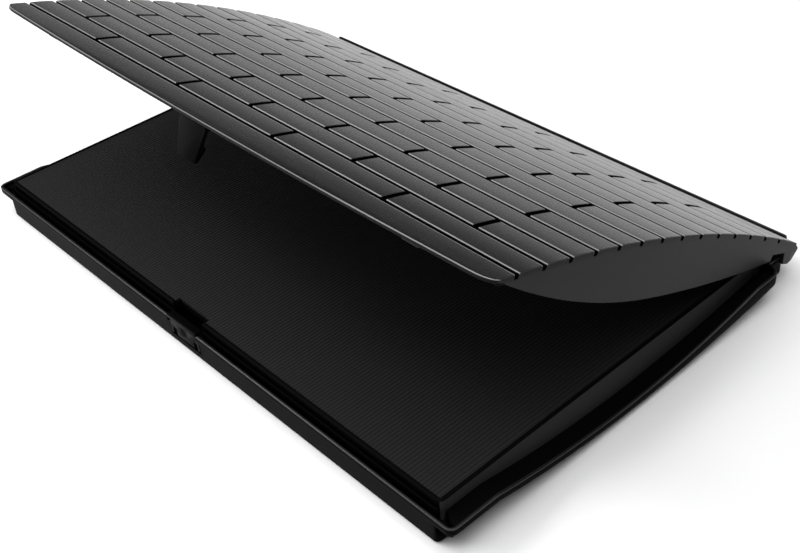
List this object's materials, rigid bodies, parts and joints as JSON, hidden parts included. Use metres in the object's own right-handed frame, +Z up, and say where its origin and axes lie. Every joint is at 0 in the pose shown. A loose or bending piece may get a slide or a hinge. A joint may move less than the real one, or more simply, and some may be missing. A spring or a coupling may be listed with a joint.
{
  "type": "slant board",
  "caption": "Folding slant board: arched, plank-grooved deck hinged at the rear edge of a shallow tray with a ribbed mat, with a latch at the front; shown open.",
  "frame": {"origin": "on the floor, under the middle of the footprint", "axes": "+X along the hinge, +Y from the free front edge to the hinge edge, +Z up"},
  "size_m": [0.458, 0.31, 0.1487],
  "materials": {
    "shell": "black moulded plastic with a fine grain",
    "inner": "black moulded plastic, plain",
    "mat": "black mat with very fine ribs",
    "rubber": "black soft rubber",
    "steel": "zinc-plated steel"
  },
  "bodies": {
    "base": {"base_tray": "shell", "base_mat": "mat", "bottom_plate": "inner", "foot_front_left": "rubber", "foot_front_middle": "rubber", "foot_front_right": "rubber", "foot_rear_left": "rubber", "foot_rear_middle": "rubber", "foot_rear_right": "rubber", "plate_screw_front_left": "steel", "plate_screw_front_middle": "steel", "plate_screw_front_right": "steel", "plate_screw_rear_left": "steel", "plate_screw_rear_middle": "steel", "plate_screw_rear_right": "steel", "hinge_pin_left": "steel", "hinge_pin_right": "steel", "friction_washer_left": "inner", "friction_washer_right": "inner", "catch_pin": "steel", "catch_spring_left": "steel", "catch_spring_right": "steel"},
    "lid": {"deck": "shell", "latch_tongue": "inner", "tongue_screw_left": "steel", "tongue_screw_right": "steel", "lid_bumper_left": "rubber", "lid_bumper_right": "rubber"},
    "catch": {"release_catch": "inner"}
  },
  "joints": [
    {"name": "lid_hinge", "type": "hinge", "parent": "base", "child": "lid", "pos_m": [0, 0.142, 0.0195], "axis": [1, 0, 0], "range_deg": [0, 23.7]},
    {"name": "catch_press", "type": "hinge", "parent": "base", "child": "catch", "pos_m": [0, -0.1515, 0.009], "axis": [1, 0, 0], "range_deg": [0, 10], "stiffness_Nm_per_rad": 0.1}
  ]
}
